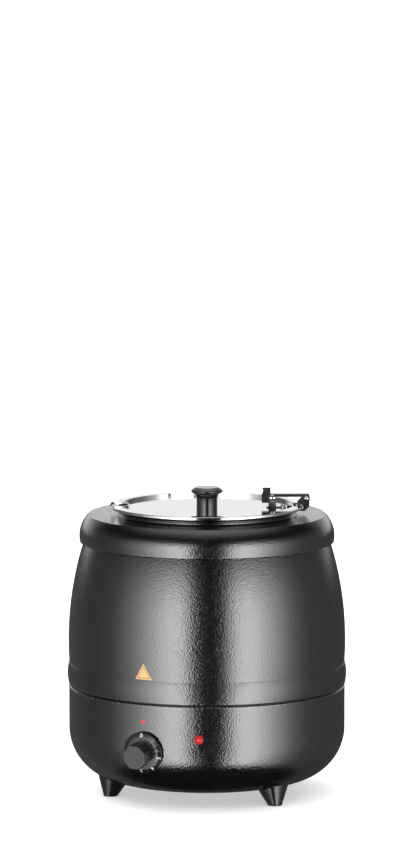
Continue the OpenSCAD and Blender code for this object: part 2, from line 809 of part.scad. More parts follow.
module inner_pot() {
    rim_r = pot_rim_t / 2;
    mark_turn = 17;
    color(steel) {
        rotate_extrude() {
            translate([pot_r - pot_t, pot_floor + pot_corner_r])
                square([pot_t, pot_h - pot_corner_r]);
            translate([0, pot_floor]) square([pot_r - pot_corner_r, pot_t]);
            translate([pot_r - pot_corner_r, pot_floor + pot_corner_r]) intersection() {
                difference() {
                    circle(r = pot_corner_r);
                    circle(r = pot_corner_r - pot_t);
                }
                translate([0, -pot_corner_r]) square(pot_corner_r);
            }
            translate([pot_r - pot_t, pot_top - pot_t]) square([pot_rim_r - rim_r - pot_r + pot_t, pot_t]);
            translate([pot_rim_r - rim_r, pot_top - rim_r]) circle(r = rim_r);
        }
        // Raised fill line pressed out of the wall
        rotate([0, 0, -90 - 42.6 - mark_turn / 2]) rotate_extrude(angle = mark_turn)
            translate([pot_r - 0.2, pot_top - fill_depth - 0.6]) square([0.5, 1.2]);
    }
}

// ---- Cover ring ----

module cover_ring() {
    fillet = 2.2;
    bead_r = 3;
    bead_z = plate_z + collar_h * 0.66;
    color(black_paint) rotate_extrude() {
        difference() {
            union() {
                translate([collar_wall_r - ring_t, plate_z - ring_t]) square([ring_t, collar_h + ring_t]);
                // Bead round the collar
                intersection() {
                    translate([collar_r - bead_r, bead_z]) circle(r = bead_r);
                    translate([collar_wall_r - ring_t, plate_z]) square([3, collar_h]);
                }
                translate([collar_wall_r - groove_depth - ring_t, groove_z - 1.5]) square([ring_t, 3]);
            }
            translate([collar_wall_r + 1 - groove_depth, groove_z]) circle(r = 1);
        }
        // Fillet down to the plate
        difference() {
            translate([collar_wall_r - eps, plate_z - eps]) square(fillet);
            translate([collar_wall_r + fillet, plate_z + fillet]) circle(r = fillet);
        }
        translate([collar_wall_r - ring_t, plate_z - ring_t])
            square([plate_r - collar_wall_r + ring_t - 0.6, ring_t]);
        // Skirt
        intersection() {
            translate([skirt_r - skirt_curve_r, plate_z - skirt_belly]) difference() {
                circle(r = skirt_curve_r, $fn = 360);
                circle(r = skirt_curve_r - ring_t, $fn = 360);
            }
            translate([plate_r - 6, skirt_end_z]) square([40, skirt_h]);
        }
    }
}

// ---- Lid ----

// The notch's outline, grown by `grow`, open toward +X
module ladle_outline(grow) {
    half = ladle_w / 2 + grow;
    end_x = lid_r - ladle_depth + ladle_w / 2;
    translate([end_x, 0]) circle(r = half);
    translate([end_x, -half]) square([40, 2 * half]);
}

module lid_disc() {
    rotate_extrude() {
        translate([recess_r - 1.5, flange_under]) square([lid_r - 1 - recess_r + 1.5, lid_t]);
        translate([recess_r - lid_t, recess_top - lid_t]) square([lid_t, recess_depth]);
        translate([0, recess_top - lid_t]) square([recess_r - eps, lid_t]);
        translate([lid_r - 1.6, lid_top - hem_h]) square([1.6, hem_h - 1]);
        intersection() {
            translate([lid_r - 1, lid_top - 1]) circle(r = 1);
            translate([lid_r - 1 - eps, lid_top - 1 - eps]) square([1 + eps, 1 + eps]);
        }
        translate([lid_r - 1.6, lid_top - 1 - eps]) square([0.6 + eps, 1 + eps]);
    }
}

module lid_plate() {
    curl = 1.4;
    color(steel) {
        difference() {
            lid_disc();
            rotate([0, 0, 180 + ladle_turn]) translate([0, 0, recess_top - 4]) linear_extrude(height = 12)
                ladle_outline(0);
            translate([clip_notch_x, -clip_notch_w / 2, recess_top - 4]) cube([40, clip_notch_w, 12]);
            translate([0, 0, recess_top - 4]) cylinder(h = 8, d = 5.2);
            for (y = [-5, 5]) {
                translate([bracket_rivet_x, y, recess_top - 4]) cylinder(h = 8, d = 3);
            }
        }
        // Curled edge of the ladle notch
        rotate([0, 0, 180 + ladle_turn]) intersection() {
            translate([0, 0, recess_top - lid_t]) linear_extrude(height = recess_depth + curl + lid_t)
                difference() {
                    ladle_outline(curl);
                    ladle_outline(0);
                }
            cylinder(h = 2 * mouth_z, r = recess_r - 1);
        }
        rotate([0, 0, 180 + ladle_turn]) intersection() {
            translate([0, 0, flange_under]) linear_extrude(height = curl + lid_t)
                difference() {
                    ladle_outline(curl);
                    ladle_outline(0);
                }
            difference() {
                cylinder(h = 2 * mouth_z, r = lid_r - 0.4);
                cylinder(h = 2 * mouth_z, r = recess_r - 1 - eps);
            }
        }
    }
}

module lid_knob() {
    neck_r = 12.85;
    top_r = lid_knob_d / 2;
    flat_r = 14;
    disc_h = 7;
    flare_r = top_r - neck_r;
    color(black_plastic) translate([0, 0, recess_top]) difference() {
        rotate_extrude() {
            difference() {
                square([top_r - 1, lid_knob_h - disc_h / 2]);
                // Hollowed neck that flares into the disc
                translate([neck_r + flare_r + 4, lid_knob_h - disc_h / 2 - flare_r - 4.4])
                    circle(r = flare_r + 4);
                translate([neck_r, -1]) square([20, lid_knob_h - disc_h / 2 - flare_r - 4.4 + 1]);
            }
            difference() {
                union() {
                    translate([0, lid_knob_h - disc_h + 1]) square([flat_r, disc_h - 1]);
                    translate([0, lid_knob_h - disc_h + 0.6]) square([top_r - 2.4, 3.4]);
                    translate([top_r - 2.4, lid_knob_h - disc_h + 2.3]) circle(r = 2.4);
                    polygon([[0, lid_knob_h - disc_h + 3], [top_r - 1.2, lid_knob_h - disc_h + 4.3],
                        [flat_r, lid_knob_h], [0, lid_knob_h]]);
                }
                translate([-10, 0]) square([10, lid_knob_h]);
            }
        }
        translate([0, 0, -1]) cylinder(h = 15, d = 5.1);
    }
}

module lid_knob_screw() {
    color(zinc) translate([0, 0, recess_top - lid_t - 1]) {
        rotate([180, 0, 0]) cylinder(h = 2.4, d = 9);
        cylinder(h = 13, d = 5);
    }
}

module lid_knob_washer() {
    color(zinc) translate([0, 0, recess_top - lid_t - 1]) difference() {
        cylinder(h = 1, d = 12);
        translate([0, 0, -1]) cylinder(h = 3, d = 5.2);
    }
}

// ---- Hinge ----

// Places flat work drawn in X and Z so that it spans y to y + t
module leaf(y, t) {
    translate([0, y + t, 0]) rotate([90, 0, 0]) linear_extrude(height = t) children();
}

// A cross hole for a pin at (x, z)
module pin_hole(x, z, r) {
    translate([x, 40, z]) rotate([90, 0, 0]) cylinder(h = 80, r = r);
}

module hinge_bracket() {
    color(steel) difference() {
        union() {
            translate([bracket_x0, -ear_y - ear_t, recess_top])
                cube([bracket_x1 - bracket_x0, 2 * (ear_y + ear_t), ear_t]);
            for (y = [-ear_y - ear_t, ear_y]) {
                leaf(y, ear_t) union() {
                    translate([lid_pin_x, pin_z]) circle(r = 4.6);
                    translate([lid_pin_x - 4.6, recess_top + 1]) square([9.2, pin_h - 1]);
                }
            }
        }
        pin_hole(lid_pin_x, pin_z, pin_hole_r);
        for (y = [-5, 5]) {
            translate([bracket_rivet_x, y, recess_top - 1]) cylinder(h = 6, d = 3);
        }
    }
}

module bracket_rivets() {
    color(steel) for (y = [-5, 5]) translate([bracket_rivet_x, y, 0]) {
        translate([0, 0, recess_top - lid_t - 0.8]) cylinder(h = lid_t + ear_t + 1, d = 2.95);
        translate([0, 0, recess_top + ear_t]) rivet_head(6, 1.6);
        translate([0, 0, recess_top - lid_t - 1.2]) cylinder(h = 1.2, d = 5.4);
    }
}

module hinge_arm() {
    cheek_y = arm_w / 2 - arm_t;
    color(steel) difference() {
        union() {
            for (y = [-arm_w / 2, cheek_y]) {
                leaf(y, arm_t) union() {
                    for (x = [lid_pin_x, clip_pin_x]) {
                        translate([x, pin_z]) circle(r = arm_lobe_r);
                        translate([x - 3.4, pin_z]) square([6.8, arm_top - pin_z - 0.4]);
                    }
                    translate([lid_pin_x - 13, arm_under]) square([arm_l + 16.4, arm_top - arm_under]);
                }
            }
            translate([lid_pin_x - 13, -arm_w / 2, arm_top - arm_t])
                cube([arm_l + 16.4, arm_w, arm_t]);
        }
        pin_hole(lid_pin_x, pin_z, pin_r);
        pin_hole(clip_pin_x, pin_z, pin_r);
        // Slot for the stop tab
        translate([lid_pin_x - 11.8, -1.5, arm_under - 1]) cube([9.8, 3, 12]);
    }
}

// Upright plate that the lid's plate meets when the lid tips too far
module stop_tab() {
    x = lid_pin_x;
    color([0.12, 0.12, 0.13]) {
        leaf(-1.5, 3) difference() {
            polygon([[x - 11.8, pin_z + 12.4], [x - 2, pin_z + 12.4], [x - 2, arm_under + 0.5],
                [x - 3, pin_z - 1], [x - 3, pin_z - 6], [x - 11, pin_z - 6], [x - 13, pin_z - 3],
                [x - 13, arm_under], [x - 11.8, arm_under]]);
            translate([x, pin_z]) circle(r = pin_r + 1);
            translate([x - 12.2, pin_z + 8.6]) circle(r = 1.1);
        }
        for (y = [-arm_w / 2 + arm_t, 1.5]) {
            leaf(y, arm_w / 2 - arm_t - 1.5) translate([x - 12.8, pin_z - 6])
                square([8, arm_top - arm_t - pin_z + 6]);
        }
    }
}

// A pin through the hinge with a domed head at each end
module hinge_pin(x, half, head_d) {
    color(steel) translate([x, 0, pin_z]) {
        translate([0, half, 0]) rotate([90, 0, 0]) cylinder(h = 2 * half, r = pin_r);
        for (side = [-1, 1]) {
            translate([0, side * half, 0]) rotate([-side * 90, 0, 0]) rivet_head(head_d, 1.9);
        }
    }
}

module lid_pin() {
    hinge_pin(lid_pin_x, ear_y + ear_t + 0.2, 8.8);
}

module clip_pin() {
    hinge_pin(clip_pin_x, ear_y + ear_t + 0.2, 6.4);
}

module clip_body() {
    color(steel) difference() {
        union() {
            for (y = [-ear_y - ear_t, ear_y]) {
                leaf(y, ear_t) union() {
                    polygon([[grip_face_x, clip_bottom], [grip_face_x + 8.4, clip_bottom - 0.6],
                        [clip_back_x, clip_bottom + 5], [clip_back_x + 0.6, pin_z - 1],
                        [clip_pin_x - 4, pin_z + 2.4], [grip_face_x, clip_floor_z + 4]]);
                    translate([clip_pin_x, pin_z]) circle(r = 4.4);
                }
            }
            translate([grip_face_x, -ear_y - ear_t + eps, clip_floor_z])
                cube([clip_back_x - grip_face_x - 0.2, 2 * (ear_y + ear_t - eps), clip_floor_t]);
            translate([grip_face_x, -ear_y - ear_t + eps, clip_bottom])
                cube([1.5, 2 * (ear_y + ear_t - eps), clip_floor_z - clip_bottom + 0.2]);
        }
        pin_hole(clip_pin_x, pin_z, pin_hole_r);
        translate([grip_face_x + 6, 0, clip_floor_z - 1]) cylinder(h = 4, d = 3);
    }
}

module clip_jaw() {
    strip_z = clip_floor_z + clip_floor_t;
    color(steel) difference() {
        union() {
            translate([jaw_face_x - jaw_t, -strip_w / 2, strip_z])
                cube([clip_back_x - 2 - jaw_face_x + jaw_t, strip_w, jaw_t]);
            translate([jaw_face_x - jaw_t, -strip_w / 2, clip_bottom - 3])
                cube([jaw_t, strip_w, strip_z - clip_bottom + 3 + eps]);
        }
        translate([grip_face_x + 6, 0, strip_z - 1]) cylinder(h = 4, d = 3);
    }
}

module jaw_rivet() {
    strip_z = clip_floor_z + clip_floor_t;
    color(steel) translate([grip_face_x + 6, 0, 0]) {
        translate([0, 0, clip_floor_z - 0.2]) cylinder(h = clip_floor_t + jaw_t + 0.4, d = 2.95);
        translate([0, 0, strip_z + jaw_t]) rivet_head(5, 1);
        translate([0, 0, clip_floor_z - 1]) cylinder(h = 1, d = 5);
    }
}

module jaw_pad() {
    color([0.1, 0.1, 0.1]) translate([jaw_face_x - jaw_t - pad_depth, -pad_w / 2, clip_bottom - 4.4])
        cube([pad_depth, pad_w, pad_h]);
}

upper_shell();
lower_shell();
well();
flange_screws();
base_plate();
base_screws();
heater_plate();
heating_element();
heat_shield();
tie_studs();
tie_nuts();
thermal_cutout();
sensor_bulb();
capillary();
sensor_clip();
thermostat();
thermostat_bracket();
thermostat_screws();
lamp_lens();
lamp_body();
terminal_block();
terminal_screws();
live_wires();
neutral_wires();
earth_wire();
earth_stud();
cord_gland();
gland_nut();
foot_left();
foot_right();
foot_rear();
foot_screws();
index_dot();
caution_label();
knob_grip();
knob_skirt();
thermostat_shaft();
inner_pot();
cover_ring();
clip_body();
clip_jaw();
jaw_rivet();
jaw_pad();
hinge_arm();
stop_tab();
clip_pin();
lid_pin();
lid_plate();
lid_knob();
lid_knob_screw();
lid_knob_washer();
hinge_bracket();
bracket_rivets();
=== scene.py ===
"""The looks of an electric soup kettle: finishes, dial figures, small trim, floor, light and camera."""

import json
import math
import bmesh
import bpy
from mathutils import Matrix, Vector

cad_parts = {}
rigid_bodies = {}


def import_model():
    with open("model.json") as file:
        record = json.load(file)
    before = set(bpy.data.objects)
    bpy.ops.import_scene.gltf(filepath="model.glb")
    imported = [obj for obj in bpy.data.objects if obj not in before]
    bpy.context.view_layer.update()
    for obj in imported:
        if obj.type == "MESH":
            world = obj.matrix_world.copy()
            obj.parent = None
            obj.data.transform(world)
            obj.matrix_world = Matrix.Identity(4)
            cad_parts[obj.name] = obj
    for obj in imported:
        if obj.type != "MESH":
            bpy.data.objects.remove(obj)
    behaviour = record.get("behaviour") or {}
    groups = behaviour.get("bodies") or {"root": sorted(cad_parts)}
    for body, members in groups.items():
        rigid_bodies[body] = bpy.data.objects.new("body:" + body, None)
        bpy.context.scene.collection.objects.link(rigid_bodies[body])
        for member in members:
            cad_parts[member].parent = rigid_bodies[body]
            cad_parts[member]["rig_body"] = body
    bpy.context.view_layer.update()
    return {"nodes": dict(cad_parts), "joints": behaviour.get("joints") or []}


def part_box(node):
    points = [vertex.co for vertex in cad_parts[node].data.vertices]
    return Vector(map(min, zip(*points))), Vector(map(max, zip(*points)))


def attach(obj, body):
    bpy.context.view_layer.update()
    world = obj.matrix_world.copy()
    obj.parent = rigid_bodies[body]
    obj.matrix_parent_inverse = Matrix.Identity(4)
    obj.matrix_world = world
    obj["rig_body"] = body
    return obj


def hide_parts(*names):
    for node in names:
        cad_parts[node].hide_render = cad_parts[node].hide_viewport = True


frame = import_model()
nodes = frame["nodes"]
joints = {joint["name"]: joint for joint in frame["joints"]}
MM = 0.001

# ---- Node helpers ----


def node_of(tree, kind, **settings):
    """A new node with its plain settings."""
    node = tree.nodes.new(kind)
    for name, value in settings.items():
        setattr(node, name, value)
    return node


def feed(tree, node, **inputs):
    """Sets a node's inputs by name, where _ stands for a space: sockets are linked, values are set."""
    for name, value in inputs.items():
        socket = node.inputs[name.replace("_", " ")]
        if isinstance(value, bpy.types.NodeSocket):
            tree.links.new(value, socket)
        else:
            socket.default_value = value
    return node


def maths(tree, operation, *values, clamp=False):
    """The result of a Math node on numbers or sockets."""
    node = node_of(tree, "ShaderNodeMath", operation=operation, use_clamp=clamp)
    for socket, value in zip(node.inputs, values):
        if isinstance(value, bpy.types.NodeSocket):
            tree.links.new(value, socket)
        else:
            socket.default_value = value
    return node.outputs[0]


def fade(tree, value, start, end, low=0.0, high=1.0):
    """Runs smoothly from low to high as value goes from start to end."""
    node = node_of(tree, "ShaderNodeMapRange", interpolation_type="SMOOTHSTEP")
    feed(tree, node, Value=value, From_Min=start, From_Max=end, To_Min=low, To_Max=high)
    return node.outputs["Result"]


def place(tree, stretch=(1, 1, 1)):
    """Object coordinates in millimetres, stretched along the axes."""
    coords = node_of(tree, "ShaderNodeTexCoord").outputs["Object"]
    mapping = node_of(tree, "ShaderNodeMapping")
    feed(tree, mapping, Vector=coords, Scale=[1000 * s for s in stretch])
    return mapping.outputs["Vector"]


def height_mm(tree):
    """Height above the floor in millimetres."""
    split = feed(tree, node_of(tree, "ShaderNodeSeparateXYZ"), Vector=place(tree))
    return split.outputs["Z"]


def radius_mm(tree):
    """Distance from the kettle's axis in millimetres."""
    flat = node_of(tree, "ShaderNodeVectorMath", operation="MULTIPLY")
    tree.links.new(place(tree), flat.inputs[0])
    flat.inputs[1].default_value = (1, 1, 0)
    length = node_of(tree, "ShaderNodeVectorMath", operation="LENGTH")
    tree.links.new(flat.outputs[0], length.inputs[0])
    return length.outputs["Value"]


def grain(tree, vector, size, detail=2.0, rough=0.5):
    """Noise from 0 to 1 whose features are about `size` millimetres across."""
    node = node_of(tree, "ShaderNodeTexNoise")
    feed(tree, node, Vector=vector, Scale=1 / size, Detail=detail, Roughness=rough)
    return node.outputs["Fac"]


def lines(tree, value, size, detail=3.0):
    """Noise that changes along one value only, such as height or radius, as turned or drawn lines do."""
    node = node_of(tree, "ShaderNodeTexNoise", noise_dimensions="1D")
    feed(tree, node, W=value, Scale=1 / size, Detail=detail)
    return node.outputs["Fac"]


def blend(tree, factor, low, high):
    """A colour between low and high."""
    node = node_of(tree, "ShaderNodeMix", data_type="RGBA")
    tree.links.new(factor, node.inputs["Factor"])
    for socket, value in ((node.inputs[6], low), (node.inputs[7], high)):
        if isinstance(value, bpy.types.NodeSocket):
            tree.links.new(value, socket)
        else:
            socket.default_value = (*value, 1)
    return node.outputs[2]


def finish_of(name, **constants):
    """A new material, its nodes and its shader, with constants set on the shader's own sockets."""
    material = bpy.data.materials.new(name)
    material.use_nodes = True
    tree = material.node_tree
    shader = tree.nodes["Principled BSDF"]
    feed(tree, shader, **constants)
    return material, tree, shader


def dent(tree, shader, height, depth_mm, strength=1.0):
    """Bumps the shader's surface by a height from 0 to 1."""
    bump = node_of(tree, "ShaderNodeBump")
    feed(tree, bump, Height=height, Distance=depth_mm * MM, Strength=strength)
    tree.links.new(bump.outputs["Normal"], shader.inputs["Normal"])


# ---- Finishes ----


def hammer_enamel(name, worn_heights=(), cove=None):
    """Glossy black enamel with the dimpled grain of hammer paint, rubbed a little at the given heights.
    A cove is the height span of a joint whose wall leans out as it rises."""
    material, tree, shader = finish_of(name, IOR=1.8, Coat_Weight=0.15, Coat_Roughness=0.08)
    at = place(tree)
    cells = node_of(tree, "ShaderNodeTexVoronoi", feature="SMOOTH_F1")
    feed(tree, cells, Vector=at, Scale=1 / 2.0, Smoothness=0.7)
    peel = grain(tree, at, 1.3, detail=1.0)
    relief = maths(tree, "ADD", cells.outputs["Distance"], maths(tree, "MULTIPLY", peel, 0.8))
    cloud = grain(tree, at, 38, detail=3)
    colour = blend(tree, cloud, (0.003, 0.003, 0.0035), (0.006, 0.006, 0.007))
    rough = fade(tree, grain(tree, at, 9, detail=4), 0.3, 0.7, 0.11, 0.17)
    for height in worn_heights:
        near = fade(tree, maths(tree, "ABSOLUTE", maths(tree, "SUBTRACT", height_mm(tree), height)), 1.6, 0.1)
        rubbed = maths(tree, "MULTIPLY", near, fade(tree, grain(tree, at, 4, detail=5), 0.45, 0.7))
        colour = blend(tree, rubbed, colour, (0.05, 0.05, 0.052))
        rough = maths(tree, "ADD", rough, maths(tree, "MULTIPLY", rubbed, 0.15))
    feed(tree, shader, Base_Color=colour, Roughness=rough)
    if cove:
        lean = feed(tree, node_of(tree, "ShaderNodeMapRange"), Value=height_mm(tree), From_Min=cove[0],
                    From_Max=cove[1], To_Max=12.0 * (cove[1] - cove[0]))
        relief = maths(tree, "ADD", relief, lean.outputs["Result"])
    dent(tree, shader, relief, 0.16)
    return material


def drawn_steel(name, along, colour=(0.62, 0.625, 0.63), rough=(0.05, 0.13), line_mm=0.35, depth_mm=0.0015,
                anisotropic=0.3):
    """Stainless steel with fine lines that run round the axis; `along` says what they step along."""
    material, tree, shader = finish_of(name, Metallic=1.0, Anisotropic=anisotropic, Anisotropic_Rotation=0.25)
    value = height_mm(tree) if along == "height" else radius_mm(tree)
    fine = lines(tree, value, line_mm)
    broad = lines(tree, value, 9.0, detail=1.0)
    at = place(tree)
    smears = grain(tree, place(tree, (1, 1, 0.25)), 24, detail=4)
    marks = fade(tree, grain(tree, at, 2.5, detail=6), 0.66, 0.74)
    tone = maths(tree, "MULTIPLY", maths(tree, "ADD", fine, broad), 0.5)
    light = tuple(min(1.0, 1.07 * c) for c in colour)
    dark = tuple(0.9 * c for c in colour)
    feed(tree, shader, Base_Color=blend(tree, tone, dark, light))
    base = fade(tree, smears, 0.3, 0.75, rough[0], rough[1])
    feed(tree, shader, Roughness=maths(tree, "ADD", base, maths(tree, "MULTIPLY", marks, 0.05)))
    dent(tree, shader, fine, depth_mm)
    return material


def plain_metal(name, colour, rough, grain_mm=1.2, depth_mm=0.01, spangle=0.0):
    """Plated, turned or cast metal with a fine grain, blotches and small scuffs."""
    material, tree, shader = finish_of(name, Metallic=1.0)
    at = place(tree)
    fine = grain(tree, at, grain_mm, detail=4)
    cells = node_of(tree, "ShaderNodeTexVoronoi")
    feed(tree, cells, Vector=at, Scale=1 / (6 * grain_mm))
    blotch = maths(tree, "ADD", maths(tree, "MULTIPLY", cells.outputs["Distance"], spangle),
                   grain(tree, at, 12, detail=2))
    feed(tree, shader, Base_Color=blend(tree, blotch, tuple(0.8 * c for c in colour), colour))
    feed(tree, shader, Roughness=fade(tree, fine, 0.3, 0.75, rough - 0.06, rough + 0.1))
    dent(tree, shader, fine, depth_mm)
    return material


def moulded(name, colour, rough, grain_mm=0.6, depth_mm=0.012, **constants):
    """Moulded plastic, rubber or ceramic: an even colour with fine grain, faint flow marks and dust."""
    material, tree, shader = finish_of(name, **constants)
    at = place(tree)
    fine = grain(tree, at, grain_mm, detail=3)
    flow = grain(tree, place(tree, (1, 1, 0.3)), 14, detail=3)
    dust = fade(tree, grain(tree, at, 1.6, detail=6), 0.7, 0.8, 0.0, 0.25)
    paler = tuple(min(1.0, 1.25 * c + 0.004) for c in colour)
    tone = blend(tree, flow, colour, paler)
    feed(tree, shader, Base_Color=blend(tree, dust, tone, tuple(min(1.0, c + 0.06) for c in colour)))
    feed(tree, shader, Roughness=fade(tree, fine, 0.3, 0.75, max(0.04, rough - 0.05), rough + 0.08))
    dent(tree, shader, fine, depth_mm)
    return material


def lens_red(name):
    """Clear red moulding with slight sink marks and a faint glow of its own."""
    material, tree, shader = finish_of(name, IOR=1.49, Emission_Strength=0.05)
    at = place(tree)
    sink = grain(tree, at, 4, detail=1)
    tone = blend(tree, grain(tree, at, 3, detail=2), (0.3, 0.002, 0.003), (0.5, 0.006, 0.008))
    feed(tree, shader, Base_Color=tone, Emission_Color=tone)
    feed(tree, shader, Roughness=fade(tree, sink, 0.3, 0.7, 0.22, 0.3))
    dent(tree, shader, sink, 0.004)
    return material


def printed_label(name, node):
    """Amber triangle with a darker line inside its edge, on slightly creased film."""
    material, tree, shader = finish_of(name, IOR=1.5, Coat_Weight=0.3, Coat_Roughness=0.12)
    low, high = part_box(node)
    middle = (low + high) / 2
    out = Vector((middle.x, middle.y, 0)).normalized()
    side = Vector((-out.y, out.x, 0))
    at = place(tree)
    across = node_of(tree, "ShaderNodeVectorMath", operation="DOT_PRODUCT")
    tree.links.new(at, across.inputs[0])
    across.inputs[1].default_value = side
    up = maths(tree, "SUBTRACT", height_mm(tree), low.z / MM)
    tall = (high.z - low.z) / MM
    lean = maths(tree, "MULTIPLY", maths(tree, "SUBTRACT", tall, up), 0.5)
    steep = math.sin(math.radians(60))
    reach = maths(tree, "MULTIPLY", maths(tree, "ABSOLUTE", across.outputs["Value"]), steep)
    edge = maths(tree, "MINIMUM", up, maths(tree, "SUBTRACT", lean, reach))
    line = maths(tree, "MULTIPLY", fade(tree, edge, 1.1, 1.4), fade(tree, edge, 2.3, 2.0))
    ink = blend(tree, grain(tree, at, 5, detail=4), (0.58, 0.33, 0.1), (0.68, 0.4, 0.15))
    feed(tree, shader, Base_Color=blend(tree, line, ink, (0.2, 0.1, 0.04)))
    feed(tree, shader, Roughness=fade(tree, grain(tree, at, 2, detail=3), 0.3, 0.7, 0.25, 0.4))
    dent(tree, shader, grain(tree, at, 6, detail=2), 0.05)
    return material


seam_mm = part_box("upper_shell")[0].z / MM
ring_low_mm, ring_high_mm = (corner.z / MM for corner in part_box("cover_ring"))

finishes = {
    "jacket_enamel": hammer_enamel("jacket_enamel", [seam_mm]),
    "lower_enamel": hammer_enamel("lower_enamel", [seam_mm - 4], (seam_mm - 2, seam_mm)),
    "ring_enamel": hammer_enamel("ring_enamel", [ring_low_mm, ring_high_mm]),
    "well_steel": drawn_steel("well_steel", "height", (0.6, 0.605, 0.61), (0.2, 0.27), depth_mm=0.002,
                              anisotropic=0.9),
    "pot_steel": drawn_steel("pot_steel", "height", (0.82, 0.825, 0.83), (0.12, 0.16), anisotropic=0.9),
    "lid_steel": drawn_steel("lid_steel", "radius", (0.62, 0.625, 0.63), (0.05, 0.1), depth_mm=0.001),
    "hinge_steel": drawn_steel("hinge_steel", "height", (0.5, 0.505, 0.51), (0.12, 0.2), line_mm=0.6),
    "zinc_plate": plain_metal("zinc_plate", (0.6, 0.61, 0.63), 0.3, spangle=0.5),
    "cast_aluminium": plain_metal("cast_aluminium", (0.62, 0.62, 0.63), 0.4, grain_mm=0.8, depth_mm=0.03),
    "element_sheath": plain_metal("element_sheath", (0.2, 0.18, 0.17), 0.45, depth_mm=0.02),
    "drawn_copper": plain_metal("drawn_copper", (0.75, 0.42, 0.28), 0.28),
    "turned_brass": plain_metal("turned_brass", (0.78, 0.6, 0.3), 0.25),
    "blackened_steel": plain_metal("blackened_steel", (0.07, 0.07, 0.075), 0.35, depth_mm=0.03),
    "ceramic": moulded("ceramic", (0.8, 0.77, 0.7), 0.3, IOR=1.5),
    "phenolic": moulded("phenolic", (0.62, 0.56, 0.44), 0.45),
    "white_nylon": moulded("white_nylon", (0.75, 0.75, 0.72), 0.4),
    "brown_silicone": moulded("brown_silicone", (0.16, 0.07, 0.03), 0.5),
    "blue_silicone": moulded("blue_silicone", (0.03, 0.07, 0.3), 0.5),
    "green_silicone": moulded("green_silicone", (0.1, 0.3, 0.04), 0.5),
    "foot_plastic": moulded("foot_plastic", (0.006, 0.006, 0.0065), 0.12, depth_mm=0.008),
    "knob_plastic": moulded("knob_plastic", (0.008, 0.008, 0.009), 0.26, depth_mm=0.008),
    "dial_plastic": moulded("dial_plastic", (0.007, 0.007, 0.008), 0.2, depth_mm=0.012),
    "lid_knob_plastic": moulded("lid_knob_plastic", (0.012, 0.012, 0.013), 0.16, depth_mm=0.01,
                                Coat_Weight=0.3),
    "rubber": moulded("rubber", (0.02, 0.02, 0.02), 0.6, grain_mm=0.9, depth_mm=0.05),
    "figure_ink": moulded("figure_ink", (0.8, 0.8, 0.8), 0.4, depth_mm=0.004),
    "index_red": moulded("index_red", (0.5, 0.01, 0.05), 0.3, depth_mm=0.01),
    "lens_red": lens_red("lens_red"),
    "label_film": printed_label("label_film", "caution_label"),
}

NODE_FINISH = {
    "jacket_enamel": ["upper_shell"],
    "lower_enamel": ["lower_shell"],
    "ring_enamel": ["cover_ring"],
    "well_steel": ["well", "heat_shield"],
    "pot_steel": ["inner_pot"],
    "lid_steel": ["lid_plate"],
    "hinge_steel": ["clip_body", "clip_jaw", "jaw_rivet", "hinge_arm", "clip_pin", "lid_pin", "hinge_bracket",
                    "bracket_rivets"],
    "zinc_plate": ["flange_screws", "base_plate", "base_screws", "tie_studs", "tie_nuts", "sensor_clip",
                   "thermostat_bracket", "thermostat_screws", "gland_nut", "foot_screws", "thermostat_shaft",
                   "lid_knob_screw", "lid_knob_washer"],
    "cast_aluminium": ["heater_plate"],
    "element_sheath": ["heating_element"],
    "drawn_copper": ["sensor_bulb", "capillary"],
    "turned_brass": ["terminal_screws", "earth_stud"],
    "blackened_steel": ["stop_tab"],
    "ceramic": ["thermal_cutout"],
    "phenolic": ["thermostat"],
    "white_nylon": ["lamp_body", "terminal_block"],
    "brown_silicone": ["live_wires"],
    "blue_silicone": ["neutral_wires"],
    "green_silicone": ["earth_wire"],
    "foot_plastic": ["foot_left", "foot_right", "foot_rear", "cord_gland"],
    "knob_plastic": ["knob_grip"],
    "dial_plastic": ["knob_skirt"],
    "lid_knob_plastic": ["lid_knob"],
    "rubber": ["jaw_pad"],
    "index_red": ["index_dot"],
    "lens_red": ["lamp_lens"],
    "label_film": ["caution_label"],
}


def coat(obj, material):
    """Gives an object one material all over."""
    obj.data.materials.clear()
    obj.data.materials.append(material)


finish_by_node = {node: finishes[name] for name, group in NODE_FINISH.items() for node in group}
for node_name, node_obj in nodes.items():
    coat(node_obj, finish_by_node[node_name])

# ---- Pieces with softened edges ----


def add_piece(name, mesh, material, body):
    """Links a finished mesh, given in the frame's own place, and lets it ride on a body."""
    obj = bpy.data.objects.new(name, mesh)
    bpy.context.scene.collection.objects.link(obj)
    if material:
        coat(obj, material)
    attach(obj, body)
    return obj


def smooth_by_angle(mesh, degrees=35):
    """Shades faces smooth and keeps the edges sharper than the angle crisp."""
    mesh.polygons.foreach_set("use_smooth", [True] * len(mesh.polygons))
    work = bmesh.new()
    work.from_mesh(mesh)
    for edge in work.edges:
        edge.smooth = len(edge.link_faces) == 2 and edge.calc_face_angle(0) < math.radians(degrees)
    work.to_mesh(mesh)
    work.free()


def keep_flats(mesh):
    """Gives a mesh normals that follow its larger faces, so that flats stay flat beside a rounded edge."""
    holder = bpy.data.objects.new("holder", mesh)
    bpy.context.scene.collection.objects.link(holder)
    weigh = holder.modifiers.new("flats", "WEIGHTED_NORMAL")
    weigh.keep_sharp = True
    weigh.weight = 100
    bpy.context.view_layer.update()
    result = bpy.data.meshes.new_from_object(holder.evaluated_get(bpy.context.evaluated_depsgraph_get()))
    bpy.data.objects.remove(holder)
    return result


